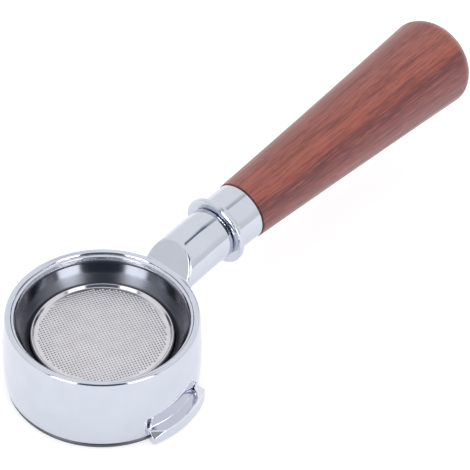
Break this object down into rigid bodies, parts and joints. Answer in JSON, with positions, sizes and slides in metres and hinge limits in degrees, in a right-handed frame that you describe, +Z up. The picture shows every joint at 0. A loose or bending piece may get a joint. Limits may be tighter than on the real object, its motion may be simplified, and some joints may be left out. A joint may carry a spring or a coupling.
{
  "type": "portafilter",
  "caption": "Bottomless portafilter with bayonet lugs, perforated filter basket, flanged metal collar and turned wooden handle, standing upside down on its basket rim.",
  "frame": {"origin": "centre of the part's footprint box, on the plane of the basket rim it stands on", "axes": "+X along the handle away from the ring, +Z up through the open underside of the ring as it stands, +Y to the left of the handle seen from the ring"},
  "size_m": [0.2068, 0.0692, 0.055],
  "materials": {
    "plated_casting": "polished plating",
    "plated_collar": "polished plating",
    "basket_steel": "satin pressed sheet",
    "spring_wire": "drawn wire",
    "stud_steel": "rolled thread",
    "insert_brass": "machined",
    "grip_wood": "satin varnish",
    "washer_rubber": "matte",
    "washer_fibre": "matte"
  },
  "bodies": {
    "basket": {"basket": "basket_steel"},
    "head": {"head": "plated_casting", "basket_spring": "spring_wire", "neck_washer": "washer_rubber"},
    "ferrule": {"ferrule": "plated_collar", "grip_washer": "washer_fibre"},
    "handle": {"handle_grip": "grip_wood", "handle_insert": "insert_brass", "handle_stud": "stud_steel"}
  },
  "joints": [
    {"name": "basket_release", "type": "slide", "parent": "basket", "child": "head", "axis": [0, 0, 1], "range_m": [0, 0.03]},
    {"name": "ferrule_slide", "type": "slide", "parent": "head", "child": "ferrule", "axis": [0.9971, 0, 0.0758], "range_m": [0, 0.009]},
    {"name": "handle_unscrew", "type": "hinge", "parent": "ferrule", "child": "handle", "pos_m": [-0.00696, 0, 0.03108], "axis": [0.9971, 0, 0.0758], "range_deg": [0, 2163]}
  ],
  "couplings": [
    {"joint": "handle_unscrew", "follows": "ferrule_slide", "rad_per_m": 4188.8}
  ]
}
